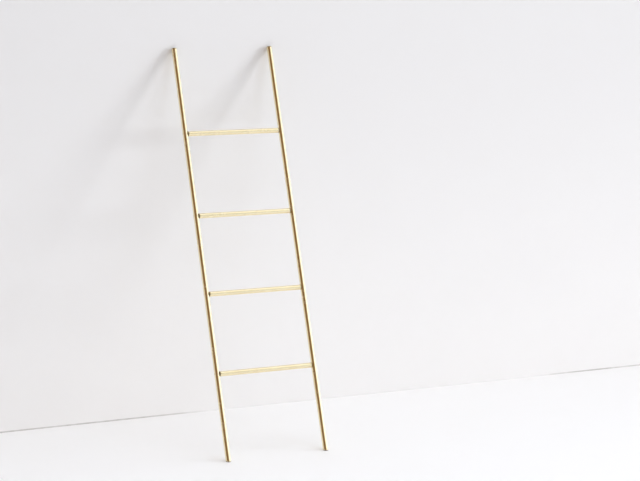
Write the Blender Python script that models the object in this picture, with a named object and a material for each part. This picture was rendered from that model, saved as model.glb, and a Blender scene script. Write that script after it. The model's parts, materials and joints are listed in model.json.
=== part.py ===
"""A quilt ladder that leans on a wall: brass tube stiles and rungs, screwed together through end plugs.

+X runs along the wall, +Y points into the wall and +Z is up. The floor is Z = 0, and the origin is the
centre of the base of the ladder's bounding box. Every size is in metres.

Most pieces are turned about their own +Z and then laid on the ladder. The empty ladder_lean carries
them: its +Z runs up the stiles from the floor, and its +Y points out of the back of the ladder.
"""

import math

import bmesh
import bpy

# The ladder
STILE_LENGTH = 1.800  # from the floor to the top of the cap, along the axis
STILE_SPACING = 0.450  # between the two stile axes
LEAN = math.radians(22.8)  # from upright
RUNG_HEIGHTS = (1.417, 1.054, 0.713, 0.370)  # from the floor to each rung's axis, along the stile

# The tubes
STILE_DIAMETER = 0.022
STILE_WALL = 0.0015
RUNG_DIAMETER = 0.022
RUNG_WALL = 0.0015

# The gaps
CLEARANCE = 0.0003  # between two pieces that touch
WALL_GAP = 0.001  # between the metal and the wall that the bumpers rest on

# The turned plug in each end of a rung
FLANGE_THICKNESS = 0.003
SPIGOT_DIAMETER = 0.009  # the nose that enters the stile
SPIGOT_REACH = 0.001  # how far the nose goes past the inside of the stile's wall
PLUG_END_WALL = 0.003  # solid metal past the threaded hole
PLUG_CHAMFER = 0.0005

# The M4 countersunk screws, through the stile into the plug
SCREW_DIAMETER = 0.004
SCREW_HEAD_DIAMETER = 0.008
SCREW_HEAD_RIM = 0.0003  # the straight edge above the countersunk cone
SCREW_ENGAGEMENT = 0.0135  # past the flange's face
SCREW_TIP_GAP = 0.001  # left free at the bottom of the threaded hole
SCREW_CHAMFER = 0.0005
SOCKET_WIDTH = 0.0025  # across the flats of the hexagon
SOCKET_DEPTH = 0.0015

# The caps on the stiles' tops
CAP_THICKNESS = 0.0035
CAP_EDGE_RADIUS = 0.0015
CAP_DEPTH = 0.014  # in the tube
CAP_CHAMFER = 0.0006

# The wall bumpers, pushed through the stiles' backs into the caps
BUMPER_DROP = 0.0105  # from the top of the cap to the bumper's axis
BUMPER_DIAMETER = 0.009
STEM_DIAMETER = 0.005
STEM_DEPTH = 0.008  # from the back of the stile to the stem's end
STEM_TIP_GAP = 0.001  # left free at the bottom of the stem's hole

# The feet, cut level with the floor
PAD_THICKNESS = 0.0025
FOOT_DEPTH = 0.018  # from the floor to the top of the plug, along the axis
FOOT_CHAMFER = 0.0008

# How round the meshes are
TUBE_SIDES = 48
TURNED_SIDES = 24
SCREW_SIDES = 24  # a multiple of 12, so that corners of the hexagon fall on its points
ARC_STEPS = 3
MERGE_DISTANCE = 1e-6  # joins the copies of a point that a full turn leaves
CUTTER_OVERRUN = 0.002  # how far a cutter runs past the skin it cuts
CUTTER_TURN = math.pi / TURNED_SIDES  # half a side, which keeps a cutter's points off the tubes' edges

STILE_RADIUS = STILE_DIAMETER / 2
STILE_BORE = STILE_RADIUS - STILE_WALL
RUNG_RADIUS = RUNG_DIAMETER / 2
RUNG_BORE = RUNG_RADIUS - RUNG_WALL
SCREW_RADIUS = SCREW_DIAMETER / 2
SCREW_HEAD_RADIUS = SCREW_HEAD_DIAMETER / 2
SPIGOT_RADIUS = SPIGOT_DIAMETER / 2
BUMPER_RADIUS = BUMPER_DIAMETER / 2
STEM_RADIUS = STEM_DIAMETER / 2

# Places along a joint's axis, which starts on the stile's axis and points into the rung
HEAD_TOP = -math.sqrt(STILE_RADIUS**2 - (SCREW_HEAD_RADIUS + CLEARANCE) ** 2)
CONE_START = HEAD_TOP + SCREW_HEAD_RIM
CONE_END = CONE_START + SCREW_HEAD_RADIUS - SCREW_RADIUS
SPIGOT_TIP = STILE_BORE - SPIGOT_REACH
FLANGE_FACE = STILE_RADIUS + CLEARANCE
FLANGE_BACK = FLANGE_FACE + FLANGE_THICKNESS
RUNG_END = FLANGE_BACK + CLEARANCE
SCREW_TIP = FLANGE_FACE + SCREW_ENGAGEMENT
THREAD_END = SCREW_TIP + SCREW_TIP_GAP
PLUG_END = THREAD_END + PLUG_END_WALL

# Places along a stile, from the floor
CAP_UNDERSIDE = STILE_LENGTH - CAP_THICKNESS
TUBE_TOP = CAP_UNDERSIDE - CLEARANCE
BUMPER_HEIGHT = STILE_LENGTH - BUMPER_DROP
TUBE_FOOT = (PAD_THICKNESS + CLEARANCE) / math.cos(LEAN)
STEM_END = STILE_RADIUS - STEM_DEPTH

# Places across the wall, from the stiles' feet
WALL_FROM_FEET = STILE_LENGTH * math.sin(LEAN) + STILE_RADIUS * math.cos(LEAN) + WALL_GAP
FRONT_FROM_FEET = -STILE_RADIUS / math.cos(LEAN)

STILE_SIDES = {"left": -1, "right": 1}


def material(name, colour, roughness, metallic=0.0):
    """A plain finish."""
    made = bpy.data.materials.new(name)
    made.use_nodes = True
    shader = made.node_tree.nodes["Principled BSDF"]
    shader.inputs["Base Color"].default_value = (*colour, 1.0)
    shader.inputs["Roughness"].default_value = roughness
    shader.inputs["Metallic"].default_value = metallic
    made.diffuse_color = (*colour, 1.0)
    return made


def place(name, mesh, look, parent, location=(0, 0, 0), rotation=(0, 0, 0)):
    """An object that holds this mesh, carried by its parent."""
    placed = bpy.data.objects.new(name, mesh)
    bpy.context.scene.collection.objects.link(placed)
    placed.parent = parent
    placed.location = location
    placed.rotation_euler = rotation
    if look:
        mesh.materials.clear()
        mesh.materials.append(look)
    return placed


def turn(shape, profile, sides, centre=(0, 0, 0), axis=(0, 0, 1), across=(1, 0, 0)):
    """Adds the solid that a profile of (radius, height) points makes when it turns about the axis."""
    points = []
    for radius, height in profile:
        points.append([c + radius * x + height * z for c, x, z in zip(centre, across, axis)])
    verts = [shape.verts.new(point) for point in points]
    edges = [shape.edges.new(pair) for pair in zip(verts, verts[1:])]
    if profile[0][0] > 0:
        edges.append(shape.edges.new((verts[-1], verts[0])))
    bmesh.ops.spin(
        shape,
        geom=verts + edges,
        cent=centre,
        axis=axis,
        angle=2 * math.pi,
        steps=sides,
        use_merge=True,
    )
    bmesh.ops.remove_doubles(shape, verts=shape.verts, dist=MERGE_DISTANCE)


def finish(shape, name):
    """The bmesh as a mesh whose round faces are shaded smooth."""
    bmesh.ops.recalc_face_normals(shape, faces=shape.faces)
    mesh = bpy.data.meshes.new(name)
    shape.to_mesh(mesh)
    shape.free()
    mesh.shade_smooth()
    mesh.set_sharp_from_angle(angle=math.radians(35))
    return mesh


def turned(name, profile, sides):
    shape = bmesh.new()
    turn(shape, profile, sides)
    return finish(shape, name)


def mitre(verts, rise_start):
    """Moves the vertices below rise_start along the stile, so that a square end lies level with the floor."""
    for vert in verts:
        if vert.co.z < rise_start:
            vert.co.z += vert.co.y * math.tan(LEAN)


def stile_mesh():
    """A tube with a level foot and a square top. Its origin is where its axis meets the floor."""
    shape = bmesh.new()
    profile = [
        (STILE_BORE, TUBE_FOOT),
        (STILE_RADIUS, TUBE_FOOT),
        (STILE_RADIUS, TUBE_TOP),
        (STILE_BORE, TUBE_TOP),
    ]
    turn(shape, profile, TUBE_SIDES)
    mitre(shape.verts, STILE_LENGTH / 2)
    return finish(shape, "stile")


def rung_mesh():
    """A tube centred on its own middle."""
    half = STILE_SPACING / 2 - RUNG_END
    profile = [
        (RUNG_BORE, -half),
        (RUNG_RADIUS, -half),
        (RUNG_RADIUS, half),
        (RUNG_BORE, half),
    ]
    return turned("rung", profile, TUBE_SIDES)


def plug_mesh():
    """Nose, flange and barrel, with a blind hole for the screw. Its origin is on the stile's axis."""
    barrel = RUNG_BORE - CLEARANCE
    hole = SCREW_RADIUS + CLEARANCE
    profile = [
        (0, THREAD_END),
        (hole, THREAD_END),
        (hole, SPIGOT_TIP),
        (SPIGOT_RADIUS - PLUG_CHAMFER, SPIGOT_TIP),
        (SPIGOT_RADIUS, SPIGOT_TIP + PLUG_CHAMFER),
        (SPIGOT_RADIUS, FLANGE_FACE),
        (RUNG_RADIUS - PLUG_CHAMFER, FLANGE_FACE),
        (RUNG_RADIUS, FLANGE_FACE + PLUG_CHAMFER),
        (RUNG_RADIUS, FLANGE_BACK),
        (barrel, FLANGE_BACK),
        (barrel, PLUG_END - PLUG_CHAMFER),
        (barrel - PLUG_CHAMFER, PLUG_END),
        (0, PLUG_END),
    ]
    return turned("rung_plug", profile, TURNED_SIDES)


def screw_mesh():
    """A countersunk screw with a hexagon socket. Its origin is on the stile's axis."""
    flat = SOCKET_WIDTH / 2
    profile = [
        (0, HEAD_TOP + SOCKET_DEPTH),
        (flat, HEAD_TOP + SOCKET_DEPTH),
        (flat, HEAD_TOP),
        (SCREW_HEAD_RADIUS, HEAD_TOP),
        (SCREW_HEAD_RADIUS, CONE_START),
        (SCREW_RADIUS, CONE_END),
        (SCREW_RADIUS, SCREW_TIP - SCREW_CHAMFER),
        (SCREW_RADIUS - SCREW_CHAMFER, SCREW_TIP),
        (0, SCREW_TIP),
    ]
    shape = bmesh.new()
    turn(shape, profile, SCREW_SIDES)
    for vert in shape.verts:
        radius = math.hypot(vert.co.x, vert.co.y)
        if math.isclose(radius, flat, rel_tol=1e-3):
            off_flat = math.remainder(math.atan2(vert.co.y, vert.co.x), math.pi / 3)
            vert.co.x /= math.cos(off_flat)
            vert.co.y /= math.cos(off_flat)
    return finish(shape, "screw")


def cap_mesh():
    """A plug with a round-edged lid. Its origin is where the stile's axis meets the floor."""
    barrel = STILE_BORE - CLEARANCE
    bottom = CAP_UNDERSIDE - CAP_DEPTH
    profile = [(0, bottom), (barrel - CAP_CHAMFER, bottom), (barrel, bottom + CAP_CHAMFER)]
    profile += [(barrel, CAP_UNDERSIDE), (STILE_RADIUS, CAP_UNDERSIDE)]
    for step in range(ARC_STEPS + 1):
        angle = math.pi / 2 * step / ARC_STEPS
        radius = STILE_RADIUS - CAP_EDGE_RADIUS * (1 - math.cos(angle))
        height = STILE_LENGTH - CAP_EDGE_RADIUS * (1 - math.sin(angle))
        profile.append((radius, height))
    profile.append((0, STILE_LENGTH))
    return turned("stile_cap", profile, TURNED_SIDES)


def foot_mesh():
    """A plug with a level pad under the tube. Its origin is where the stile's axis meets the floor."""
    barrel = STILE_BORE - CLEARANCE
    pad_top = PAD_THICKNESS / math.cos(LEAN)
    profile = [
        (0, 0),
        (STILE_RADIUS, 0),
        (STILE_RADIUS, pad_top),
        (barrel, pad_top),
        (barrel, FOOT_DEPTH - FOOT_CHAMFER),
        (barrel - FOOT_CHAMFER, FOOT_DEPTH),
        (0, FOOT_DEPTH),
    ]
    shape = bmesh.new()
    turn(shape, profile, TURNED_SIDES)
    mitre(shape.verts, FOOT_DEPTH / 2)
    return finish(shape, "foot")


def bumper_mesh():
    """A stem along +Y and a head that fits the round stile and ends upright, on the wall."""
    saddle, crown = 0.5, 1.0  # heights that stand for the two faces until they get their shapes
    profile = [
        (0, STEM_END),
        (STEM_RADIUS, STEM_END),
        (STEM_RADIUS, saddle),
        (BUMPER_RADIUS, saddle),
        (BUMPER_RADIUS, crown),
        (0, crown),
    ]
    centre = (0, 0, BUMPER_HEIGHT)
    shape = bmesh.new()
    turn(shape, profile, TURNED_SIDES, centre, axis=(0, 1, 0))
    for vert in shape.verts:
        if math.isclose(vert.co.y, saddle):
            vert.co.y = math.sqrt((STILE_RADIUS + CLEARANCE) ** 2 - vert.co.x**2)
        elif math.isclose(vert.co.y, crown):
            vert.co.y = (WALL_FROM_FEET - vert.co.z * math.sin(LEAN)) / math.cos(LEAN)
    return finish(shape, "wall_bumper")


def joint_drill(parent):
    """The cutter for every screw and plug hole: countersunk outside, a round hole for the nose inside."""
    far = STILE_RADIUS + CUTTER_OVERRUN
    inside = STILE_BORE - CUTTER_OVERRUN
    head = SCREW_HEAD_RADIUS + CLEARANCE
    shank = SCREW_RADIUS + CLEARANCE
    nose = SPIGOT_RADIUS + CLEARANCE
    profile = [(0, -far), (head, -far), (head, CONE_START), (shank, CONE_END)]
    profile += [(shank, inside), (nose, inside), (nose, far), (0, far)]
    across = (0, math.sin(CUTTER_TURN), math.cos(CUTTER_TURN))
    shape = bmesh.new()
    for side in STILE_SIDES.values():
        for height in RUNG_HEIGHTS:
            centre = (side * STILE_SPACING / 2, 0, height)
            turn(shape, profile, TURNED_SIDES, centre, axis=(-side, 0, 0), across=across)
    return guide(place("joint_drill", finish(shape, "joint_drill"), None, parent))


def bumper_drill(parent):
    """The cutter for both bumpers' holes, through the back of the stile and into the cap."""
    hole = STEM_RADIUS + CLEARANCE
    far = STILE_RADIUS + CUTTER_OVERRUN
    profile = [(0, STEM_END - STEM_TIP_GAP), (hole, STEM_END - STEM_TIP_GAP), (hole, far), (0, far)]
    across = (math.cos(CUTTER_TURN), 0, math.sin(CUTTER_TURN))
    shape = bmesh.new()
    for side in STILE_SIDES.values():
        centre = (side * STILE_SPACING / 2, 0, BUMPER_HEIGHT)
        turn(shape, profile, TURNED_SIDES, centre, axis=(0, 1, 0), across=across)
    return guide(place("bumper_drill", finish(shape, "bumper_drill"), None, parent))


def guide(cutter):
    cutter.hide_render = True
    cutter.display_type = "WIRE"
    return cutter


def cut(piece, cutter):
    """Takes the cutter's shape away from the piece."""
    modifier = piece.modifiers.new(cutter.name, "BOOLEAN")
    modifier.operation = "DIFFERENCE"
    modifier.solver = "EXACT"
    modifier.object = cutter


def main():
    for leftover in list(bpy.data.objects):
        bpy.data.objects.remove(leftover)

    tube_brass = material("tube_brass", (0.78, 0.58, 0.30), 0.22, metallic=1.0)
    turned_brass = material("turned_brass", (0.76, 0.56, 0.29), 0.26, metallic=1.0)
    screw_brass = material("screw_brass", (0.70, 0.52, 0.28), 0.30, metallic=1.0)
    foot_rubber = material("foot_rubber", (0.42, 0.38, 0.34), 0.70)
    bumper_silicone = material("bumper_silicone", (0.82, 0.80, 0.77), 0.45)

    lean = bpy.data.objects.new("ladder_lean", None)
    bpy.context.scene.collection.objects.link(lean)
    lean.location.y = -(WALL_FROM_FEET + FRONT_FROM_FEET) / 2
    lean.rotation_euler.x = -LEAN

    joint_cutter = joint_drill(lean)
    bumper_cutter = bumper_drill(lean)
    rung, plug, screw = rung_mesh(), plug_mesh(), screw_mesh()
    stile, cap, foot, bumper = stile_mesh(), cap_mesh(), foot_mesh(), bumper_mesh()

    for side_name, side in STILE_SIDES.items():
        axis_x = side * STILE_SPACING / 2
        at_stile = (axis_x, 0, 0)
        tube = place(f"{side_name}_stile", stile, tube_brass, lean, at_stile)
        cut(tube, joint_cutter)
        cut(tube, bumper_cutter)
        cut(place(f"{side_name}_stile_cap", cap, turned_brass, lean, at_stile), bumper_cutter)
        place(f"{side_name}_foot", foot, foot_rubber, lean, at_stile)
        place(f"{side_name}_wall_bumper", bumper, bumper_silicone, lean, at_stile)
        into_rung = (0, -side * math.pi / 2, 0)
        for number, height in enumerate(RUNG_HEIGHTS, start=1):
            joint = (axis_x, 0, height)
            place(f"rung_{number}_{side_name}_plug", plug, turned_brass, lean, joint, into_rung)
            place(f"rung_{number}_{side_name}_screw", screw, screw_brass, lean, joint, into_rung)

    for number, height in enumerate(RUNG_HEIGHTS, start=1):
        place(f"rung_{number}", rung, tube_brass, lean, (0, 0, height), (0, math.pi / 2, 0))


main()
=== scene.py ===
"""The looks of a brass quilt ladder that leans on a wall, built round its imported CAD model.

Every size is in metres. The ladder's own frame has its origin on the floor, midway between the
stiles' feet, with +X along the wall, +Z up along the stiles and +Y out of the ladder's back. Most
pieces are turned about their own +Z and then laid in that frame.
"""

import json
import logging
import math
from dataclasses import dataclass, field
from enum import Enum

import bmesh
import bpy
from mathutils import Matrix, Vector


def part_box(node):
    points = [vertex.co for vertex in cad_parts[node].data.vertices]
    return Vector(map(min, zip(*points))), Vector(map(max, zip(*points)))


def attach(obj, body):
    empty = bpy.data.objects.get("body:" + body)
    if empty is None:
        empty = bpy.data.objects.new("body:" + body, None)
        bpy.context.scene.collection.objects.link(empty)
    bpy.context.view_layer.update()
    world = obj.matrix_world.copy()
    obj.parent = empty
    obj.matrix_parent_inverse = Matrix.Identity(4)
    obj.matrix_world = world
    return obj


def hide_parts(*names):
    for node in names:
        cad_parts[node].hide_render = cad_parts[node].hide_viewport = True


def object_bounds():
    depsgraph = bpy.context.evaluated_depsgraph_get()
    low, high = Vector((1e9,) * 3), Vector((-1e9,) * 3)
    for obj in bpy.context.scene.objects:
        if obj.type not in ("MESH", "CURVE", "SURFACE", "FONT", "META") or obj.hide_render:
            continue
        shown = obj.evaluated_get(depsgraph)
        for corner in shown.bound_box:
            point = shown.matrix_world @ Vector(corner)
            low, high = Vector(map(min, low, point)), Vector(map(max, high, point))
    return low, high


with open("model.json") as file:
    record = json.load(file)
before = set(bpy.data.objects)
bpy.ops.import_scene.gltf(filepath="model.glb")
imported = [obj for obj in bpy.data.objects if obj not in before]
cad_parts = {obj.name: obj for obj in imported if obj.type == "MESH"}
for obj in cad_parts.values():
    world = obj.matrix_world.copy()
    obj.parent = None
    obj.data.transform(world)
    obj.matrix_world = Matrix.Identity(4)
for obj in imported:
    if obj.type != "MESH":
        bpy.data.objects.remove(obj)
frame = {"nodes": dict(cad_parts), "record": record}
cad_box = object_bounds()

LOG = logging.getLogger("quilt_ladder")
BODY = "root"
OWN_PLACE = "own_place"  # each piece's own coordinates, before it is laid on the ladder
RIM = "rim"  # 1 on a rounded rim, 0 elsewhere
PAINTED_SHADE = "painted_shade"  # 1 where shade is painted on the brass, beside a joint and on a stile's lid

Point = tuple[float, float]
Place = tuple[float, float, float]
Colour = tuple[float, float, float]
Node = bpy.types.Node
Output = bpy.types.NodeSocket
Outputs = bpy.types.NodeOutputs
Material = bpy.types.Material
Mesh = bpy.types.Mesh
Piece = bpy.types.Object


class Side(Enum):
    """The two ends of the ladder's width."""

    LEFT = -1
    RIGHT = 1

    @property
    def word(self) -> str:
        """The side's name in node names."""
        return self.name.lower()


class Slot(Enum):
    """The record's material slots."""

    TUBE = "tube_brass"
    TURNED = "turned_brass"
    SCREW = "screw_brass"
    FOOT = "foot_rubber"
    BUMPER = "bumper_silicone"


# ---- Node building ----


class Wiring:
    """Places nodes in one tree and joins them."""

    def __init__(self, tree: bpy.types.NodeTree) -> None:
        """Works on this tree."""
        self.tree = tree

    def node(self, kind: str, *values: object, **settings: object) -> Node:
        """Adds a node.

        Args:
            kind: The node's type.
            *values: What its inputs take, in order.
            **settings: Properties to set on it.

        Returns:
            The new node.
        """
        made = self.tree.nodes.new(kind)
        for name, value in settings.items():
            setattr(made, name, value)
        for value, socket in zip(values, made.inputs):
            self.feed(value, socket)
        return made

    def feed(self, source: object, socket: Output) -> None:
        """Links an output to a socket, or sets the socket's own value.

        Args:
            source: An output socket, a number, or a tuple of numbers.
            socket: The input that takes it.
        """
        if isinstance(source, Output):
            self.tree.links.new(source, socket)
        else:
            socket.default_value = source

    def math(self, operation: str, *values: object, clamp: bool = False) -> Output:
        """A Math node's result, kept from 0 to 1 if it is clamped."""
        made = self.node("ShaderNodeMath", *values, operation=operation, use_clamp=clamp)
        return made.outputs[0]

    def vector(self, operation: str, *values: object, out: str = "Vector") -> Output:
        """The wanted output of a Vector Math node."""
        return self.node("ShaderNodeVectorMath", *values, operation=operation).outputs[out]

    def ramp(self, value: object, low: float, high: float, to: Point = (0.0, 1.0)) -> Output:
        """A smooth step.

        Args:
            value: What is stepped.
            low: Where the step starts.
            high: Where it ends.
            to: The results at its two ends.

        Returns:
            The stepped value.
        """
        ends = (low, high, *to)
        made = self.node("ShaderNodeMapRange", value, *ends, interpolation_type="SMOOTHSTEP")
        return made.outputs["Result"]

    def noise(self, place: object, scale: object, detail: float, roughness: float = 0.5) -> Output:
        """Fractal noise from 0 to 1.

        Args:
            place: The coordinates.
            scale: Features in each metre.
            detail: How many octaves.
            roughness: How strong the finer octaves are.

        Returns:
            The noise's value.
        """
        made = self.node("ShaderNodeTexNoise", noise_dimensions="3D")
        self.feed(place, made.inputs["Vector"])
        self.feed(scale, made.inputs["Scale"])
        made.inputs["Detail"].default_value = detail
        made.inputs["Roughness"].default_value = roughness
        return made.outputs["Fac"]

    def blend(self, share: object, first: object, second: object) -> Output:
        """Mixes two colours.

        Args:
            share: How much of the second one shows.
            first: A colour or an output.
            second: A colour or an output.

        Returns:
            The mixed colour.
        """
        made = self.node("ShaderNodeMix", data_type="RGBA")
        colours = [socket for socket in made.inputs if socket.type == "RGBA"]
        self.feed(share, made.inputs["Factor"])
        for given, socket in zip((first, second), colours):
            self.feed((*given, 1.0) if isinstance(given, tuple) else given, socket)
        return next(socket for socket in made.outputs if socket.type == "RGBA")

    def attribute(self, name: str, out: str = "Fac") -> Output:
        """What a mesh carries on its vertices under this name."""
        return self.node("ShaderNodeAttribute", attribute_name=name).outputs[out]

    def axes(self, place: object) -> Outputs:
        """A vector's X, Y and Z."""
        return self.node("ShaderNodeSeparateXYZ", place).outputs

    def dress(
        self, shader: Node, colour: object, rough: object, height: object, depth: float
    ) -> None:
        """Gives a shader its colour, its roughness and a fine relief.

        Args:
            shader: The shader.
            colour: Its base colour.
            rough: Its roughness.
            height: The relief, from 0 to 1.
            depth: How deep the relief goes, in metres.
        """
        bump = self.node("ShaderNodeBump")
        bump.inputs["Distance"].default_value = depth
        self.feed(height, bump.inputs["Height"])
        self.feed(colour, shader.inputs["Base Color"])
        self.feed(rough, shader.inputs["Roughness"])
        self.feed(bump.outputs["Normal"], shader.inputs["Normal"])


class Effect:
    """A shader node group that is built once and placed in several materials."""

    name = "effect"
    inputs: tuple[str, ...] = ()  # Place is a vector, and the rest are numbers
    output = "Mask"

    def __init__(self) -> None:
        """Builds the group with its named sockets."""
        self.tree = bpy.data.node_groups.new(self.name, "ShaderNodeTree")
        for name in self.inputs:
            kind = "NodeSocketVector" if name == "Place" else "NodeSocketFloat"
            self.tree.interface.new_socket(name, in_out="INPUT", socket_type=kind)
        self.tree.interface.new_socket(self.output, in_out="OUTPUT", socket_type="NodeSocketFloat")
        net = Wiring(self.tree)
        entry = net.node("NodeGroupInput").outputs
        leave = net.node("NodeGroupOutput").inputs
        net.feed(self.build(net, entry), leave[self.output])

    def build(self, net: Wiring, entry: Outputs) -> Output:
        """The group's inside, which each effect gives."""
        raise NotImplementedError

    def place(self, net: Wiring, **values: object) -> Output:
        """Places the group in a material.

        Args:
            net: Builds the material's nodes.
            **values: The group's inputs, by name.

        Returns:
            The group's output.
        """
        made = net.node("ShaderNodeGroup", node_tree=self.tree)
        for name, value in values.items():
            net.feed(value, made.inputs[name])
        return made.outputs[self.output]


class DrawLines(Effect):
    """Fine lines that the drawing die leaves along a tube."""

    name = "draw_lines"
    inputs = ("Place", "Width", "Run")
    output = "Lines"

    def build(self, net: Wiring, entry: Outputs) -> Output:
        """Noise stretched along the tube's own Z; Width and Run are one line's, in metres.

        Args:
            net: Builds its nodes.
            entry: The group's inputs.

        Returns:
            The lines, from 0 to 1.
        """
        own = net.axes(entry["Place"])
        sizes = (("X", "Width"), ("Y", "Width"), ("Z", "Run"))
        squeezed = (net.math("DIVIDE", own[axis], entry[size]) for axis, size in sizes)
        return net.noise(net.node("ShaderNodeCombineXYZ", *squeezed).outputs[0], 1.0, 3.0, 0.62)


class TurningLines(Effect):
    """Fine rings that a lathe tool leaves round a turned piece."""

    name = "turning_lines"
    inputs = ("Place", "Pitch")
    output = "Lines"
    drift = 40.0  # how fast the rings change across the piece

    def build(self, net: Wiring, entry: Outputs) -> Output:
        """Noise that changes with the radius and the height, and hardly round the piece.

        Args:
            net: Builds its nodes.
            entry: The group's inputs.

        Returns:
            The rings, from 0 to 1.
        """
        own = net.axes(entry["Place"])
        flat = net.vector("MULTIPLY", entry["Place"], (1.0, 1.0, 0.0))
        radius = net.vector("LENGTH", flat, out="Value")
        across = net.math("DIVIDE", radius, entry["Pitch"])
        along = net.math("DIVIDE", own["Z"], entry["Pitch"])
        drift = net.math("MULTIPLY", own["X"], self.drift)
        rings = net.node("ShaderNodeCombineXYZ", across, along, drift)
        return net.noise(rings.outputs[0], 1.0, 2.0, 0.6)


class Tarnish(Effect):
    """Soft clouds of tarnish."""

    name = "tarnish"
    inputs = ("Place", "Patch", "Cover")
    fineness = 9.0  # specks across one cloud
    cloud_share, speck_share = 0.7, 0.3

    def build(self, net: Wiring, entry: Outputs) -> Output:
        """Wide clouds with finer specks; Patch is a cloud's width, and Cover how much they hide.

        Args:
            net: Builds its nodes.
            entry: The group's inputs.

        Returns:
            Where the tarnish lies, from 0 to 1.
        """
        scale = net.math("DIVIDE", 1.0, entry["Patch"])
        clouds = net.ramp(net.noise(entry["Place"], scale, 4.0, 0.6), 0.36, 0.72)
        fine = net.math("MULTIPLY", scale, self.fineness)
        specks = net.ramp(net.noise(entry["Place"], fine, 3.0, 0.55), 0.30, 0.80)
        shares = (net.math("MULTIPLY", clouds, self.cloud_share),
                  net.math("MULTIPLY", specks, self.speck_share))
        return net.math("MULTIPLY", net.math("ADD", *shares), entry["Cover"], clamp=True)


class Smudges(Effect):
    """The dulled places that hands and cloth leave on polished metal."""

    name = "smudges"
    inputs = ("Place", "Size")
    fineness = 14.0  # breaks across one patch

    def build(self, net: Wiring, entry: Outputs) -> Output:
        """Soft patches broken by finer ones; Size is a patch's width.

        Args:
            net: Builds its nodes.
            entry: The group's inputs.

        Returns:
            Where the smudges lie, from 0 to 1.
        """
        scale = net.math("DIVIDE", 1.0, entry["Size"])
        patches = net.ramp(net.noise(entry["Place"], scale, 2.0, 0.5), 0.45, 0.70)
        fine = net.math("MULTIPLY", scale, self.fineness)
        breaks = net.ramp(net.noise(entry["Place"], fine, 2.0, 0.6), 0.35, 0.65, (0.55, 1.0))
        return net.math("MULTIPLY", patches, breaks)


class RimWear(Effect):
    """Rims that handling has rubbed bright, unevenly."""

    name = "rim_wear"
    inputs = ("Rim", "Place")
    breaks_per_metre = 350.0
    fade = 1.6  # more than 1 narrows the worn band

    def build(self, net: Wiring, entry: Outputs) -> Output:
        """The rims' own mask, broken up along each rim.

        Args:
            net: Builds its nodes.
            entry: The group's inputs.

        Returns:
            Where the rim is worn, from 0 to 1.
        """
        uneven = net.noise(entry["Place"], self.breaks_per_metre, 3.0, 0.6)
        breaks = net.ramp(uneven, 0.30, 0.62, (0.35, 1.0))
        worn = net.math("POWER", entry["Rim"], self.fade)
        return net.math("MULTIPLY", worn, breaks, clamp=True)


class SurfaceGrain(Effect):
    """The fine uneven skin of moulded rubber, rolled paint or a painted board."""

    name = "surface_grain"
    inputs = ("Place", "Grain")
    output = "Height"
    coarseness = 0.12  # the swell's scale, as a share of the grains'
    grain_share, swell_share = 0.65, 0.35

    def build(self, net: Wiring, entry: Outputs) -> Output:
        """Rounded grains on a slow swell; Grain is one grain's width.

        Args:
            net: Builds its nodes.
            entry: The group's inputs.

        Returns:
            The surface's height, from 0 to 1.
        """
        scale = net.math("DIVIDE", 1.0, entry["Grain"])
        grains = net.noise(entry["Place"], scale, 3.0, 0.55)
        coarse = net.math("MULTIPLY", scale, self.coarseness)
        swell = net.noise(entry["Place"], coarse, 2.0, 0.5)
        shares = (net.math("MULTIPLY", grains, self.grain_share),
                  net.math("MULTIPLY", swell, self.swell_share))
        return net.math("ADD", *shares)


@dataclass
class Effects:
    """Every shared effect, built once."""

    draw_lines: Effect = field(default_factory=DrawLines)
    turning_lines: Effect = field(default_factory=TurningLines)
    tarnish: Effect = field(default_factory=Tarnish)
    smudges: Effect = field(default_factory=Smudges)
    rim_wear: Effect = field(default_factory=RimWear)
    grain: Effect = field(default_factory=SurfaceGrain)


# ---- Finishes ----


def new_material(name: str) -> tuple[Material, Wiring, Node]:
    """An empty node material.

    Args:
        name: The material's name.

    Returns:
        The material, the wiring for its tree, and its Principled BSDF.
    """
    made = bpy.data.materials.new(name)
    made.use_nodes = True
    return made, Wiring(made.node_tree), made.node_tree.nodes["Principled BSDF"]


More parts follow.
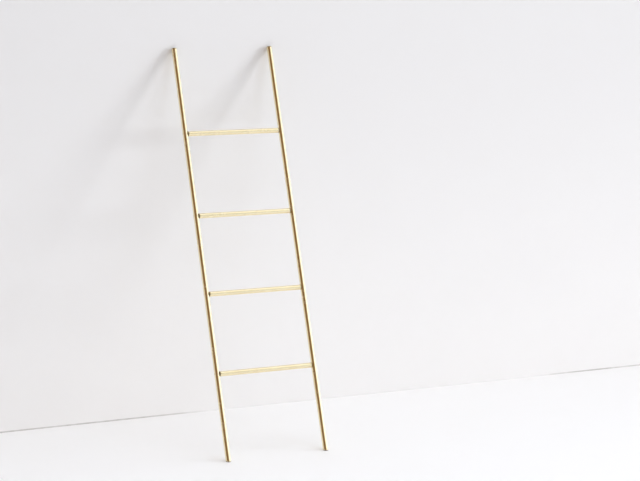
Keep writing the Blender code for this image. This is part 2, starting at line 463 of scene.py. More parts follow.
@dataclass(frozen=True)
class BrassFinish:
    """Polished brass with tool lines, light tarnish, smudges, bright rims and painted shade."""

    slot: Slot
    colour: Colour
    tarnish_colour: Colour
    roughness: float
    tarnish_cover: float
    line_width: float
    line_run: float = 0.0  # 0 for a turned piece, whose lines are rings
    line_depth: float = 0.000012
    line_shade: float = 0.10  # how much of the tarnish colour the deepest lines take
    patch: float = 0.060
    smudge_size: float = 0.050
    rubbed: float = 1.12  # how much brighter than the brass a worn rim is
    rubbed_share: float = 0.5
    # the painted shade's colour, beside joints and on lids
    painted_shade_colour: Colour = (0.150, 0.095, 0.050)
    line_rough: float = 0.07  # what each effect adds to the roughness
    tarnish_rough: float = 0.12
    smudge_rough: float = 0.05
    wear_rough: float = -0.05
    painted_shade_rough: float = 0.22

    def lines(self, net: Wiring, effects: Effects, place: Output) -> Output:
        """The finish's tool lines.

        Args:
            net: Builds the nodes.
            effects: The shared effects.
            place: The piece's own coordinates.

        Returns:
            The lines' height, from 0 to 1.
        """
        if self.line_run:
            drawn = {"Place": place, "Width": self.line_width, "Run": self.line_run}
            return effects.draw_lines.place(net, **drawn)
        return effects.turning_lines.place(net, Place=place, Pitch=self.line_width)

    def build(self, effects: Effects) -> Material:
        """Builds the material.

        Args:
            effects: The shared effects.

        Returns:
            The finished brass.
        """
        made, net, shader = new_material(self.slot.value)
        own = net.attribute(OWN_PLACE, "Vector")
        world = net.node("ShaderNodeTexCoord").outputs["Object"]
        lines = self.lines(net, effects, own)
        clouds = {"Place": world, "Patch": self.patch, "Cover": self.tarnish_cover}
        tarnish = effects.tarnish.place(net, **clouds)
        smudges = effects.smudges.place(net, Place=world, Size=self.smudge_size)
        wear = effects.rim_wear.place(net, Rim=net.attribute(RIM), Place=own)

        worn_tarnish = net.math("MULTIPLY", tarnish, net.math("SUBTRACT", 1.0, wear))
        clouded = net.blend(worn_tarnish, self.colour, self.tarnish_colour)
        shade = net.ramp(lines, 0.30, 0.70, (0.0, self.line_shade))
        lined = net.blend(shade, clouded, self.tarnish_colour)
        bright = tuple(min(1.0, self.rubbed * part) for part in self.colour)
        rubbed = net.blend(net.math("MULTIPLY", wear, self.rubbed_share), lined, bright)
        uneven = net.ramp(tarnish, 0.00, 0.25, (0.78, 1.0))
        # painted shade beside each rung joint and on each stile's lid
        dark = net.math("MULTIPLY", net.attribute(PAINTED_SHADE), uneven)
        shade_painted = net.blend(dark, rubbed, self.painted_shade_colour)

        rough = self.roughness - self.line_rough / 2
        added = ((lines, self.line_rough), (worn_tarnish, self.tarnish_rough),
                 (smudges, self.smudge_rough), (wear, self.wear_rough), (dark, self.painted_shade_rough))
        for mask, amount in added:
            rough = net.math("MULTIPLY_ADD", mask, amount, rough, clamp=mask is dark)
        net.dress(shader, shade_painted, rough, lines, self.line_depth)
        shader.inputs["Metallic"].default_value = 1.0
        return made


@dataclass(frozen=True)
class RubberFinish:
    """Matt moulded rubber or milky silicone, with a fine grain and a little dust."""

    slot: Slot
    colour: Colour
    dust_colour: Colour
    roughness: float
    dust: float
    grain: float
    depth: float
    subsurface: float = 0.0
    subsurface_scale: float = 0.002
    dust_patch: float = 0.006
    dust_rough: float = 0.15  # what dust adds to the roughness
    scuff: float = 0.35  # how pale a worn rim is

    def build(self, effects: Effects) -> Material:
        """Builds the material.

        Args:
            effects: The shared effects.

        Returns:
            The finished rubber.
        """
        made, net, shader = new_material(self.slot.value)
        own = net.attribute(OWN_PLACE, "Vector")
        dusty = effects.tarnish.place(net, Place=own, Patch=self.dust_patch, Cover=self.dust)
        wear = effects.rim_wear.place(net, Rim=net.attribute(RIM), Place=own)
        dusted = net.blend(dusty, self.colour, self.dust_colour)
        scuffed = net.blend(net.math("MULTIPLY", wear, self.scuff), dusted, self.dust_colour)
        rough = net.math("MULTIPLY_ADD", dusty, self.dust_rough, self.roughness, clamp=True)
        height = effects.grain.place(net, Place=own, Grain=self.grain)
        net.dress(shader, scuffed, rough, height, self.depth)
        shader.inputs["Subsurface Weight"].default_value = self.subsurface
        shader.inputs["Subsurface Scale"].default_value = self.subsurface_scale
        return made


@dataclass(frozen=True)
class PaintFinish:
    """Matt pale paint on the wall or the floor, with painted shade where it is given."""

    name: str
    colour: Colour
    shade: Colour
    roughness: float
    grain: float
    depth: float
    one_sided: bool = False
    cloud: float = 0.35  # how wide its faint clouds are
    grain_rough: float = 0.1  # what the grain adds to the roughness
    upper_shade: Colour | None = None  # painted shade well above the floor, if it differs
    upper_shade_height: float = 2.10
    joint: float = 0.0  # the height of the painted shade in the gap at a wall's foot
    gap_shade_colour: Colour = (0.560, 0.545, 0.535)
    joint_middle: float = 0.83  # where along the wall the joint is tightest
    joint_tight: float = 0.80  # how far from there it starts to open
    joint_open: float = 1.20  # how far from there it is fully open
    joint_least: float = 0.10  # how dark it is at its tightest
    joint_breaks: float = 7.0  # in each metre

    def with_gap_shade(self, net: Wiring, place: Output, paint: object) -> Output:
        """Paints shade along the wall's foot, darkest where the joint's gap is open.

        Args:
            net: Builds the nodes.
            place: The wall's coordinates.
            paint: The paint's colour.

        Returns:
            The colour with the painted shade line in it.
        """
        own = net.axes(place)
        foot = net.ramp(own["Z"], 0.5 * self.joint, 1.5 * self.joint, (1.0, 0.0))
        along = net.math("ABSOLUTE", net.math("SUBTRACT", own["X"], self.joint_middle))
        gap = net.ramp(along, self.joint_tight, self.joint_open, (self.joint_least, 1.0))
        breaks = net.noise(place, self.joint_breaks, 3.0, 0.6)
        uneven = net.ramp(breaks, 0.30, 0.60, (0.45, 1.0))
        line = net.math("MULTIPLY", foot, net.math("MULTIPLY", gap, uneven), clamp=True)
        return net.blend(line, paint, self.gap_shade_colour)

    def build(self, effects: Effects) -> Material:
        """Builds the material.

        Args:
            effects: The shared effects.

        Returns:
            The paint, seen through from behind if it is one-sided.
        """
        made, net, shader = new_material(self.name)
        place = net.node("ShaderNodeTexCoord").outputs["Object"]
        height = effects.grain.place(net, Place=place, Grain=self.grain)
        clouds = effects.tarnish.place(net, Place=place, Patch=self.cloud, Cover=1.0)
        paint = net.blend(clouds, self.colour, self.shade)
        # painted shade: the paint darker towards the top
        if self.upper_shade is not None:
            shade_rise = net.ramp(net.axes(place)["Z"], 0.00, self.upper_shade_height)
            paint = net.blend(shade_rise, paint, self.upper_shade)
        # painted shade in the gap along the wall's foot
        if self.joint:
            paint = self.with_gap_shade(net, place, paint)
        rough = net.math("MULTIPLY_ADD", height, self.grain_rough, self.roughness)
        net.dress(shader, paint, rough, height, self.depth)
        if self.one_sided:
            behind = net.node("ShaderNodeNewGeometry").outputs["Backfacing"]
            clear = net.node("ShaderNodeBsdfTransparent").outputs[0]
            mixed = net.node("ShaderNodeMixShader", behind, shader.outputs[0], clear)
            net.feed(mixed.outputs[0], made.node_tree.nodes["Material Output"].inputs["Surface"])
        return made


TUBE_BRASS = BrassFinish(
    slot=Slot.TUBE,
    colour=(0.930, 0.820, 0.550),
    tarnish_colour=(0.760, 0.570, 0.280),
    roughness=0.23,
    tarnish_cover=0.24,
    line_width=0.0004,
    line_run=0.090,
)
TURNED_BRASS = BrassFinish(
    slot=Slot.TURNED,
    colour=(0.900, 0.775, 0.490),
    tarnish_colour=(0.640, 0.450, 0.200),
    roughness=0.20,
    tarnish_cover=0.34,
    line_width=0.0003,
    patch=0.012,
    smudge_size=0.015,
)
SCREW_BRASS = BrassFinish(
    slot=Slot.SCREW,
    colour=(0.820, 0.660, 0.370),
    tarnish_colour=(0.480, 0.320, 0.130),
    roughness=0.27,
    tarnish_cover=0.50,
    line_width=0.00022,
    patch=0.004,
    smudge_size=0.006,
)
FOOT_RUBBER = RubberFinish(
    slot=Slot.FOOT,
    colour=(0.150, 0.120, 0.098),
    dust_colour=(0.320, 0.290, 0.260),
    roughness=0.68,
    dust=0.35,
    grain=0.0007,
    depth=0.00006,
)
BUMPER_SILICONE = RubberFinish(
    slot=Slot.BUMPER,
    colour=(0.660, 0.640, 0.600),
    dust_colour=(0.520, 0.490, 0.440),
    roughness=0.42,
    dust=0.30,
    grain=0.0006,
    depth=0.00003,
    subsurface=0.35,
)
WALL_PAINT = PaintFinish(
    name="wall_paint",
    colour=(0.945, 0.944, 0.953),
    shade=(0.932, 0.931, 0.940),
    roughness=0.75,
    grain=0.004,
    depth=0.00015,
    one_sided=True,
    # painted shade: darker towards the top
    upper_shade=(0.830, 0.828, 0.840),
    # painted shade in the gap along the wall's foot
    joint=0.0055,
)
FLOOR_PAINT = PaintFinish(
    name="floor_paint",
    colour=(0.945, 0.946, 0.954),
    shade=(0.934, 0.935, 0.943),
    roughness=0.62,
    grain=0.006,
    depth=0.00010,
)


# ---- Shaping ----


@dataclass(frozen=True)
class Gauge:
    """Sizes that several pieces share."""

    radius: float = 0.011  # of the stiles and the rungs
    bore: float = 0.0095
    clearance: float = 0.0003  # between two pieces that touch
    stile_length: float = 1.800  # from the floor to the top of the cap, along the axis
    screw_radius: float = 0.002
    head_radius: float = 0.004
    head_rim: float = 0.0003
    spigot_radius: float = 0.0045
    flange: float = 0.003
    stem_radius: float = 0.0025
    bumper_drop: float = 0.0105  # from the top of the cap to the bumper's axis
    pad: float = 0.0025  # under the tube, square to the floor
    cap_lid: float = 0.0035
    tube_rim: float = 0.00035
    support: float = 0.0015  # from a rim to the ring that holds its wear in
    drill_past: float = 0.002  # how far a drill comes out of what it cuts
    drill_turn: float = math.radians(3)  # keeps a drill's edges off the tube's own

    @property
    def head_top(self) -> float:
        """Where a screw head's face lies along a joint's axis, from the stile's axis."""
        return -math.sqrt(self.radius**2 - (self.head_radius + self.clearance) ** 2)

    @property
    def flange_face(self) -> float:
        """Where a plug's flange starts along a joint's axis."""
        return self.radius + self.clearance

    @property
    def rung_end(self) -> float:
        """Where a rung's tube ends, from the stile's axis."""
        return self.flange_face + self.flange + self.clearance

    @property
    def tube_top(self) -> float:
        """Where a stile's tube ends, from the floor."""
        return self.stile_length - self.cap_lid - self.clearance


RUNG_NAMES = ("rung_1", "rung_2", "rung_3", "rung_4")


def centre_of(node: str) -> Vector:
    """The middle of a CAD node's box."""
    low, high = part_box(node)
    return (low + high) / 2


@dataclass(frozen=True)
class Plan:
    """Where the ladder stands and leans, taken from the CAD model."""

    lean: float
    feet_y: float
    half_spacing: float
    rung_heights: tuple[float, ...]
    wall_y: float

    @classmethod
    def read(cls, record: dict) -> "Plan":
        """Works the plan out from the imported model.

        Args:
            record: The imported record.

        Returns:
            The plan.
        """
        mounts = {mount["name"]: Vector(mount["pos_m"]) for mount in record["mounts"]}
        foot = mounts["right_foot_face"]
        rungs = [centre_of(name) for name in sorted(frame["nodes"]) if name in RUNG_NAMES]
        run = rungs[0] - rungs[-1]
        return cls(
            lean=math.atan2(run.y, run.z),
            feet_y=foot.y,
            half_spacing=foot.x,
            rung_heights=tuple(math.hypot(rung.y - foot.y, rung.z) for rung in rungs),
            wall_y=mounts["right_wall_bumper_face"].y,
        )

    @property
    def to_room(self) -> Matrix:
        """The ladder's own frame to the room's."""
        return Matrix.Translation((0, self.feet_y, 0)) @ Matrix.Rotation(-self.lean, 4, "X")


class Lathe:
    """Turns profiles into solids, in a piece's own frame."""

    def __init__(self, sides: int = 96) -> None:
        """Starts an empty shape.

        Args:
            sides: How many sides its solids have.
        """
        self.sides = sides
        self.shape = bmesh.new()
        self.rim = self.shape.verts.layers.float.new(RIM)
        self.painted_shade = self.shape.verts.layers.float.new(PAINTED_SHADE)

    def turn(self, profile: list[Point], to: Matrix | None = None) -> "Lathe":
        """Adds the solid that a profile makes when it turns about +Z.

        Args:
            profile: (radius, height) points. One that doesn't start on the axis is a closed ring.
            to: Where the solid goes.

        Returns:
            The lathe.
        """
        shape = self.shape
        verts = [shape.verts.new((radius, 0, height)) for radius, height in profile]
        edges = [shape.edges.new(pair) for pair in zip(verts, verts[1:])]
        if profile[0][0] > 0:
            edges.append(shape.edges.new((verts[-1], verts[0])))
        before = set(shape.verts) - set(verts)
        bmesh.ops.spin(
            shape, geom=verts + edges, cent=(0, 0, 0), axis=(0, 0, 1), angle=2 * math.pi,
            steps=self.sides, use_merge=True,
        )
        made = [vert for vert in shape.verts if vert not in before]
        bmesh.ops.remove_doubles(shape, verts=made, dist=1e-6)
        if to is not None:
            made = [vert for vert in shape.verts if vert not in before]
            bmesh.ops.transform(shape, matrix=to, verts=made)
        return self

    def soften(self, width: float, segments: int = 3, sharp: float = math.radians(40)) -> "Lathe":
        """Rounds every sharp rim and marks it as one.

        Args:
            width: The rounding's width.
            segments: How many faces go across it.
            sharp: The least angle that counts as sharp.

        Returns:
            The lathe.
        """
        bmesh.ops.recalc_face_normals(self.shape, faces=self.shape.faces)
        rims = [e for e in self.shape.edges if e.is_manifold and e.calc_face_angle(0.0) > sharp]
        made = bmesh.ops.bevel(
            self.shape, geom=rims, offset=width, offset_type="OFFSET", segments=segments,
            profile=0.5, affect="EDGES", material=-1, clamp_overlap=True,
        )
        for face in made["faces"]:
            for vert in face.verts:
                vert[self.rim] = 1.0
        return self

    def age(self, full: float, none: float, floor: float = 0.0) -> "Lathe":
        """Marks painted shade that fades along the axis, on the vertices between two heights.

        Args:
            full: The height where it is strongest.
            none: The height where it has faded.
            floor: The least of it, as far as the faded height.

        Returns:
            The lathe.
        """
        for vert in self.shape.verts:
            share = (vert.co.z - none) / (full - none)
            if -0.01 <= share <= 1.2:
                vert[self.painted_shade] = max(floor, min(1.0, share))
        return self

    def mitre(self, below: float, lean: float) -> "Lathe":
        """Slides the vertices below a height along the axis, so that a square end lies level.

        Args:
            below: That height.
            lean: The angle between the piece's axis and upright.

        Returns:
            The lathe.
        """
        for vert in self.shape.verts:
            if vert.co.z < below:
                vert.co.z += vert.co.y * math.tan(lean)
        return self

    def mesh(self, name: str) -> Mesh:
        """Turns the shape into a mesh, which ends the lathe's work on it.

        Args:
            name: The mesh's name.

        Returns:
            The mesh.
        """
        bmesh.ops.recalc_face_normals(self.shape, faces=self.shape.faces)
        made = bpy.data.meshes.new(name)
        self.shape.to_mesh(made)
        self.shape.free()
        return made


def arc(centre: Point, radius: float, start: float, end: float, steps: int) -> list[Point]:
    """Points on a round stretch of a profile, with its angles in degrees from outward."""
    angles = [math.radians(start + (end - start) * step / steps) for step in range(steps + 1)]
    return [(centre[0] + radius * math.cos(a), centre[1] + radius * math.sin(a)) for a in angles]


def to_scene(name: str, data: bpy.types.ID) -> Piece:
    """Puts an object in the scene.

    Args:
        name: Its name.
        data: Its mesh, light or camera.

    Returns:
        The object.
    """
    made = bpy.data.objects.new(name, data)
    bpy.context.scene.collection.objects.link(made)
    return made


def drill(mesh: Mesh, cutter: Mesh) -> Mesh:
    """Takes a cutter's shape away from a mesh.

    Args:
        mesh: The mesh to cut.
        cutter: The closed shape that is taken away.

    Returns:
        The cut mesh.
    """
    piece, tool = to_scene(mesh.name, mesh), to_scene("drill", cutter)
    cut = piece.modifiers.new("drill", "BOOLEAN")
    cut.operation = "DIFFERENCE"
    cut.solver = "EXACT"
    cut.object = tool
    graph = bpy.context.evaluated_depsgraph_get()
    done = bpy.data.meshes.new_from_object(piece.evaluated_get(graph))
    for made in (piece, tool):
        bpy.data.objects.remove(made)
    return done


class Bench:
    """Lays finished meshes in the room, dresses them and ties them to the CAD model."""

    sharp = math.radians(32)  # an edge over this angle is shaded sharp

    def __init__(self, plan: Plan, materials: dict[Slot, Material]) -> None:
        """Keeps the plan and the finished materials."""
        self.plan = plan
        self.materials = materials

    def fit(self, name: str, mesh: Mesh, slot: Slot, to: Matrix) -> Piece:
        """Makes one piece of the ladder.

        Args:
            name: The CAD node that it stands for.
            mesh: Its mesh, in its own frame.
            slot: The finish it takes.
            to: Its own frame to the ladder's.

        Returns:
            The piece.
        """
        places = mesh.attributes.new(OWN_PLACE, "FLOAT_VECTOR", "POINT")
        for vert, place in zip(mesh.vertices, places.data):
            place.vector = vert.co
        for mark in (RIM, PAINTED_SHADE):
            if mark not in mesh.attributes:
                mesh.attributes.new(mark, "FLOAT", "POINT")
        mesh.transform(self.plan.to_room @ to)
        mesh.shade_smooth()
        mesh.set_sharp_from_angle(angle=self.sharp)
        mesh.materials.clear()
        mesh.materials.append(self.materials[slot])
        piece = to_scene(f"{name}_look", mesh)
        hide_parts(name)
        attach(piece, BODY)
        self.report(piece, name)
        return piece

    def report(self, piece: Piece, node: str) -> None:
        """Logs a piece and how far its box is from its CAD node's.

        Args:
            piece: The piece.
            node: The CAD node.
        """
        low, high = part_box(node)
        corners = [vert.co for vert in piece.data.vertices]
        ends = [(min(c[i] for c in corners), max(c[i] for c in corners)) for i in range(3)]
        off = max(max(abs(ends[i][0] - low[i]), abs(ends[i][1] - high[i])) for i in range(3))
        LOG.info("%s: %d vertices, box within %.2f mm", piece.name, len(corners), 1000 * off)


# ---- The ladder's sub-assemblies ----


@dataclass
class Stile:
    """One side rail: its tube, the cap on its top, the foot under it and the bumper behind it."""

    side: Side
    plan: Plan
    gauge: Gauge = Gauge()
    joint_ring: float = 0.008  # from a joint to the rings above and below it
    foot_ring: float = 0.006  # from the tube's foot to the first ring
    plain_ring: float = 0.060  # where the tube is clear of the foot
    mitre_height: float = 0.030
    cap_depth: float = 0.014
    cap_round: float = 0.0015
    cap_rim: float = 0.0003
    foot_depth: float = 0.018
    foot_rim: float = 0.0005
    bumper_radius: float = 0.0045
    bumper_rim: float = 0.0005
    stem_depth: float = 0.008
    stem_gap: float = 0.001

    @property
    def to_ladder(self) -> Matrix:
        """The stile's own frame to the ladder's."""
        return Matrix.Translation((self.side.value * self.plan.half_spacing, 0, 0))

    @property
    def bumper_height(self) -> float:
        """Where the bumper's axis crosses the stile's."""
        return self.gauge.stile_length - self.gauge.bumper_drop

    @property
    def stem_end(self) -> float:
        """Where the bumper's stem ends, from the stile's axis."""
        return self.gauge.radius - self.stem_depth

    def tube(self) -> Mesh:
        """The tube, with a level foot, a square top, and its holes drilled.

        Returns:
            The tube's mesh.
        """
        gauge = self.gauge
        foot = (gauge.pad + gauge.clearance) / math.cos(self.plan.lean)
        top = gauge.tube_top
        levels = [foot, foot + self.foot_ring, self.plain_ring]
        for height in reversed(self.plan.rung_heights):
            levels += [height - self.joint_ring, height + self.joint_ring]
        levels += [self.bumper_height - self.bumper_radius, self.bumper_height + self.bumper_radius]
        levels += [top - gauge.support, top]
        profile = [(gauge.bore, top), (gauge.bore, foot)]
        profile += [(gauge.radius, level) for level in levels]
        lathe = Lathe().turn(profile).soften(gauge.tube_rim)
        lathe.mitre(self.mitre_height, self.plan.lean)
        return drill(lathe.mesh("stile_tube"), self.tube_drill())

    def tube_drill(self) -> Mesh:
        """Every hole in the tube: countersunk outside and round inside, and the bumper's.

        Returns:
            The cutter's mesh.
        """
        gauge = self.gauge
        far, inside = gauge.radius + gauge.drill_past, gauge.bore - gauge.drill_past
        head = gauge.head_radius + gauge.clearance
        shank = gauge.screw_radius + gauge.clearance
        nose = gauge.spigot_radius + gauge.clearance
        cone = gauge.head_top + gauge.head_rim
        profile = [(0, -far), (head, -far), (head, cone)]
        profile += [(shank, cone + gauge.head_radius - gauge.screw_radius)]
        profile += [(shank, inside), (nose, inside), (nose, far), (0, far)]
        lathe = Lathe(sides=60)
        for height in self.plan.rung_heights:
            lathe.turn(profile, self.into_rung(height) @ Matrix.Rotation(gauge.drill_turn, 4, "Z"))
        self.stem_hole(lathe)
        return lathe.mesh("stile_drill")

    def into_rung(self, height: float) -> Matrix:
        """A joint's frame at this height, whose +Z points from the stile's axis into the rung."""
        turned = Matrix.Rotation(-self.side.value * math.pi / 2, 4, "Y")
        return Matrix.Translation((0, 0, height)) @ turned

    def out_of_back(self) -> Matrix:
        """The bumper's frame, whose +Z points out of the stile's back."""
        height = Matrix.Translation((0, 0, self.bumper_height))
        return height @ Matrix.Rotation(-math.pi / 2, 4, "X")

    def stem_hole(self, lathe: Lathe) -> None:
        """Adds the bumper's hole to a cutter.

        Args:
            lathe: The cutter.
        """
        gauge = self.gauge
        hole = gauge.stem_radius + gauge.clearance
        far = gauge.radius + gauge.drill_past
        end = self.stem_end - self.stem_gap
        profile = [(0, end), (hole, end), (hole, far), (0, far)]
        lathe.turn(profile, self.out_of_back() @ Matrix.Rotation(gauge.drill_turn, 4, "Z"))

    def cap(self) -> Mesh:
        """A plug with a round-edged lid, drilled for the bumper's stem.

        Returns:
            The cap's mesh.
        """
        gauge = self.gauge
        barrel = gauge.bore - gauge.clearance
        lid = gauge.stile_length - gauge.cap_lid
        edge = (gauge.radius - self.cap_round, gauge.stile_length - self.cap_round)
        end = lid - self.cap_depth
        profile = [(0, end), (barrel, end), (barrel, lid), (gauge.radius, lid)]
        profile += arc(edge, self.cap_round, 0, 90, 8)
        profile += [(gauge.radius * share, gauge.stile_length) for share in (0.6, 0.25, 0)]
        cutter = Lathe(sides=60)
        self.stem_hole(cutter)
        # painted shade on the lid, fading down it
        lathe = Lathe().turn(profile).soften(self.cap_rim).age(gauge.stile_length, lid, 0.35)
        return drill(lathe.mesh("cap"), cutter.mesh("cap_drill"))

    def foot(self) -> Mesh:
        """A plain plug with a level pad under the tube.

        Returns:
            The foot's mesh.
        """
        gauge = self.gauge
        barrel = gauge.bore - gauge.clearance
        pad = gauge.pad / math.cos(self.plan.lean)
        profile = [(gauge.radius * share, 0) for share in (0, 0.5, 1)]
        profile += [(gauge.radius, pad), (barrel, pad)]
        profile += [(barrel, self.foot_depth), (0, self.foot_depth)]
        lathe = Lathe().turn(profile).soften(self.foot_rim)
        return lathe.mitre(self.foot_depth / 2, self.plan.lean).mesh("foot")

    def bumper(self) -> Mesh:
        """A stem and a soft head that fits the round stile and lies flat on the wall.

        Returns:
            The bumper's mesh.
        """
        gauge = self.gauge
        saddle, crown = 0.5, 1.0  # heights that stand for the two ends until they get their shapes
        quarter = math.pi / 2
        head, stem, end = self.bumper_radius, gauge.stem_radius, self.stem_end
        profile = [(0, end), (stem, end), (stem, saddle), (head, saddle), (head, crown)]
        for angle in (0.4, 0.8, 1.2, quarter):
            profile.append((head - self.bumper_rim * (1 - math.cos(angle)), crown + angle))
        profile.append((0, crown + quarter))
        lathe = Lathe(sides=72).turn(profile)
        wall = self.plan.wall_y - self.plan.feet_y
        for vert in lathe.shape.verts:
            if math.isclose(vert.co.z, saddle):
                vert.co.z = math.sqrt((gauge.radius + gauge.clearance) ** 2 - vert.co.x**2)
            elif vert.co.z >= crown:
                height = self.bumper_height - vert.co.y
                face = (wall - height * math.sin(self.plan.lean)) / math.cos(self.plan.lean)
                vert.co.z = face - self.bumper_rim * (1 - math.sin(min(vert.co.z - crown, quarter)))
        return lathe.mesh("bumper")

    def build(self, bench: Bench) -> None:
        """Makes the stile's four pieces.

        Args:
            bench: Finishes them.
        """
        word, place = self.side.word, self.to_ladder
        bench.fit(f"{word}_stile", self.tube(), Slot.TUBE, place)
        bench.fit(f"{word}_stile_cap", self.cap(), Slot.TURNED, place)
        bench.fit(f"{word}_foot", self.foot(), Slot.FOOT, place)
        bench.fit(f"{word}_wall_bumper", self.bumper(), Slot.BUMPER, place @ self.out_of_back())


@dataclass
class Rung:
    """One rung: its tube, and the plug and the screw at each end."""

    number: int
    height: float
    plan: Plan
    gauge: Gauge = Gauge()
    plug_rim: float = 0.0003
    screw_engagement: float = 0.0135
    screw_gap: float = 0.001
    nose_gap: float = 0.001  # from the plug's nose to the tube's bore, along the joint
    plug_wall: float = 0.003
    screw_rim: float = 0.00012
    tip_bevel: float = 0.0005
    socket_flat: float = 0.00125  # from the hexagon's middle to a side
    socket_depth: float = 0.0015

    @property
    def screw_tip(self) -> float:
        """Where a screw ends, from the stile's axis."""
        return self.gauge.flange_face + self.screw_engagement

    def tube(self) -> Mesh:
        """The tube, centred on its own middle.

        Returns:
            The tube's mesh.
        """
        gauge = self.gauge
        half = self.plan.half_spacing - gauge.rung_end
        ring = half - gauge.support
        profile = [(gauge.bore, half), (gauge.bore, -half)]
        profile += [(gauge.radius, at) for at in (-half, -ring, -ring / 2, ring / 2, ring, half)]
        return Lathe().turn(profile).soften(gauge.tube_rim).mesh("rung_tube")

    def plug(self) -> Mesh:
        """Nose, flange and barrel, with a blind hole for the screw.

        Returns:
            The plug's mesh.
        """
        gauge = self.gauge
        barrel = gauge.bore - gauge.clearance
        hole = gauge.screw_radius + gauge.clearance
        thread_end = self.screw_tip + self.screw_gap
        nose = gauge.bore - self.nose_gap
        back = gauge.flange_face + gauge.flange
        end = thread_end + self.plug_wall
        profile = [(0, thread_end), (hole, thread_end), (hole, nose), (gauge.spigot_radius, nose)]
        profile += [(gauge.spigot_radius, gauge.flange_face), (gauge.radius, gauge.flange_face)]
        profile += [(gauge.radius, back), (barrel, back), (barrel, end), (0, end)]
        lathe = Lathe().turn(profile).soften(self.plug_rim)
        # painted shade on the flange beside the joint
        return lathe.age(gauge.flange_face, back, 0.45).mesh("plug")

    def screw(self) -> Mesh:
        """A countersunk screw with a hexagon socket.

        Returns:
            The screw's mesh.
        """
        gauge = self.gauge
        top, flat = gauge.head_top, self.socket_flat
        cone = top + gauge.head_rim
        profile = [(0, top + self.socket_depth), (flat, top + self.socket_depth), (flat, top)]
        profile += [(gauge.head_radius, top), (gauge.head_radius, cone)]
        profile += [(gauge.screw_radius, cone + gauge.head_radius - gauge.screw_radius)]
        profile += [(gauge.screw_radius, self.screw_tip - self.tip_bevel)]
        profile += [(gauge.screw_radius - self.tip_bevel, self.screw_tip), (0, self.screw_tip)]
        lathe = Lathe(sides=72).turn(profile)
        for vert in lathe.shape.verts:
            if math.isclose(math.hypot(vert.co.x, vert.co.y), flat, rel_tol=1e-3):
                off_flat = math.remainder(math.atan2(vert.co.y, vert.co.x), math.pi / 3)
                vert.co.x /= math.cos(off_flat)
                vert.co.y /= math.cos(off_flat)
        return lathe.soften(self.screw_rim, segments=2).mesh("screw")

    def build(self, bench: Bench) -> None:
        """Makes the rung's five pieces.

        Args:
            bench: Finishes them.
        """
        name = RUNG_NAMES[self.number - 1]
        level = Matrix.Translation((0, 0, self.height))
        bench.fit(name, self.tube(), Slot.TUBE, level @ Matrix.Rotation(math.pi / 2, 4, "Y"))
        for side in Side:
            stile = Stile(side, self.plan)
            joint = stile.to_ladder @ stile.into_rung(self.height)
            bench.fit(f"{name}_{side.word}_plug", self.plug(), Slot.TURNED, joint)
            bench.fit(f"{name}_{side.word}_screw", self.screw(), Slot.SCREW, joint)


# ---- The room ----


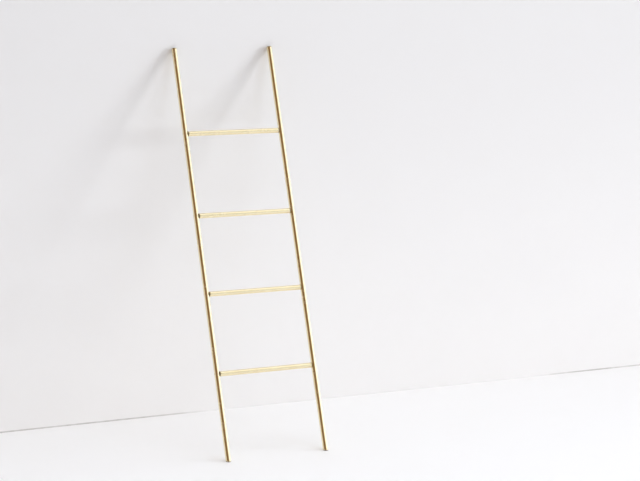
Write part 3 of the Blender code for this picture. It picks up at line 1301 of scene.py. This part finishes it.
@dataclass
class Room:
    """A plain pale floor and wall, soft light from the right, and a dim place behind the camera."""

    plan: Plan
    floor_half: float = 9.0
    wall_half: float = 9.0
    wall_height: float = 6.0
    key_from: Place = (19.6, -9.6, 3.6)
    key_size: float = 5.2
    key_power: float = 2000.0
    key_colour: Colour = (0.983, 1.018, 1.042)
    top_from: Place = (0.6, -0.9, 5.5)
    top_size: float = 3.0
    top_power: float = 58.0
    glow_towards: Place = (0.990, 0.0, 0.140)
    dim_towards: Place = (-0.528, -0.727, 0.438)
    base_light: float = 1.165
    glow_light: float = 1.6
    glow_band: Point = (0.90, 0.99)  # each band is where a smooth step starts and ends
    dim_band: Point = (0.500, 0.770)
    ceiling_light: float = 0.12
    ceiling_band: Point = (0.20, 1.00)
    horizon_share: float = 0.34  # how much light is missing at eye level, except at the right
    horizon_band: Point = (0.05, 0.20)
    right_band: Point = (0.50, 0.80)
    dim_colour: Colour = (0.205, 0.125, 0.056)
    light_colour: Colour = (0.973, 1.025, 1.094)

    def slab(self, name: str, corners: list[Place], paint: Material) -> None:
        """Adds a flat surface of the stage.

        Args:
            name: Its name.
            corners: Its corners, in order round it as seen from its front.
            paint: Its material.
        """
        shape = bmesh.new()
        shape.faces.new([shape.verts.new(corner) for corner in corners])
        bmesh.ops.subdivide_edges(shape, edges=shape.edges, cuts=8, use_grid_fill=True)
        mesh = bpy.data.meshes.new(name)
        shape.to_mesh(mesh)
        shape.free()
        mesh.materials.append(paint)
        made = to_scene(name, mesh)
        LOG.info("stage %s", name)

    def surfaces(self, effects: Effects) -> None:
        """Adds the floor and the wall.

        Args:
            effects: The shared effects.
        """
        far, wide, wall, top = self.floor_half, self.wall_half, self.plan.wall_y, self.wall_height
        floor = [(-far, -far, 0), (far, -far, 0), (far, far, 0), (-far, far, 0)]
        front = [(-wide, wall, 0), (wide, wall, 0), (wide, wall, top), (-wide, wall, top)]
        self.slab("floor", floor, FLOOR_PAINT.build(effects))
        self.slab("wall", front, WALL_PAINT.build(effects))

    def lamp(self, name: str, place: Place, aim: Vector, size: float, power: float) -> None:
        """Adds a big soft light, which the brass doesn't mirror.

        Args:
            name: Its name.
            place: Where it is.
            aim: What it points at.
            size: How wide and high it is.
            power: How strong it is, in watts.
        """
        light = bpy.data.lights.new(name, "AREA")
        light.shape = "SQUARE"
        light.size = size
        light.energy = power
        light.color = self.key_colour
        made = to_scene(name, light)
        made.location = place
        made.rotation_euler = (aim - Vector(place)).to_track_quat("-Z", "Y").to_euler()
        made.visible_glossy = False

    def lamps(self) -> None:
        """Adds the low light from the right and the softer one overhead."""
        middle = (cad_box[0] + cad_box[1]) / 2
        self.lamp("window", self.key_from, middle, self.key_size, self.key_power)
        below = Vector((*self.top_from[:2], 0.0))
        self.lamp("softbox", self.top_from, below, self.top_size, self.top_power)

    def sky(self) -> None:
        """Sets the light from all round: brightest at the right, dim where the camera stands."""
        world = bpy.data.worlds.new("room_light")
        world.use_nodes = True
        bpy.context.scene.world = world
        net = Wiring(world.node_tree)
        towards = net.node("ShaderNodeTexCoord").outputs["Generated"]
        ways = (self.glow_towards, self.dim_towards, (0.0, 0.0, 1.0), (1.0, 0.0, 0.0))
        glow, dim, height, across = (
            net.vector("DOT_PRODUCT", towards, tuple(Vector(way).normalized()), out="Value")
            for way in ways
        )
        strengths = (self.base_light, self.base_light + self.ceiling_light)
        overhead = net.ramp(height, *self.ceiling_band, strengths)
        level = net.math("ABSOLUTE", height)
        level = net.ramp(level, *self.horizon_band, (self.horizon_share, 0.0))
        missing = net.math("MULTIPLY", level, net.ramp(across, *self.right_band, (1.0, 0.0)))
        even = net.math("MULTIPLY", overhead, net.math("SUBTRACT", 1.0, missing))
        glowing = net.ramp(glow, *self.glow_band, (0.0, self.glow_light))
        shade = net.ramp(dim, *self.dim_band)
        background = world.node_tree.nodes["Background"]
        colour = net.blend(shade, self.light_colour, self.dim_colour)
        net.feed(colour, background.inputs["Color"])
        net.feed(net.math("ADD", even, glowing), background.inputs["Strength"])

    def build(self, effects: Effects) -> None:
        """Builds the room.

        Args:
            effects: The shared effects.
        """
        self.surfaces(effects)
        self.lamps()
        self.sky()


@dataclass
class Viewpoint:
    """The camera: far off, to the left of the ladder and a little above it, with a slight roll."""

    place: Place = (-3.165, -7.387, 2.511)
    turn: float = math.radians(25.360)  # from +Y towards +X
    down: float = math.radians(11.538)
    roll: float = math.radians(1.58)
    lens: float = 106.96
    sensor: float = 36.0
    reach: float = 60.0  # how far it sees, in metres

    def build(self) -> None:
        """Adds the camera and makes it the scene's."""
        level = math.cos(self.down)
        ahead = Vector(
            (math.sin(self.turn) * level, math.cos(self.turn) * level, -math.sin(self.down))
        )
        right = Vector((math.cos(self.turn), -math.sin(self.turn), 0))
        turned = Matrix.Rotation(self.roll, 3, -ahead)
        across, up = turned @ right, turned @ right.cross(ahead)
        camera = bpy.data.cameras.new("camera")
        camera.lens = self.lens
        camera.sensor_width = self.sensor
        camera.clip_end = self.reach
        made = to_scene("camera", camera)
        facing = Matrix((across, up, -ahead)).transposed().to_4x4()
        made.matrix_world = Matrix.Translation(self.place) @ facing
        bpy.context.scene.camera = made


def main() -> None:
    """Builds the ladder, the room and the camera."""
    logging.basicConfig(level=logging.INFO, format="%(name)s: %(message)s")
    effects = Effects()
    finishes = (TUBE_BRASS, TURNED_BRASS, SCREW_BRASS, FOOT_RUBBER, BUMPER_SILICONE)
    plan = Plan.read(frame["record"])
    bench = Bench(plan, {finish.slot: finish.build(effects) for finish in finishes})
    for side in Side:
        Stile(side, plan).build(bench)
    for number, height in enumerate(plan.rung_heights, start=1):
        Rung(number, height, plan).build(bench)
    Room(plan).build(effects)
    Viewpoint().build()
    bpy.context.scene.view_settings.view_transform = "Standard"


if __name__ == "__main__":
    main()
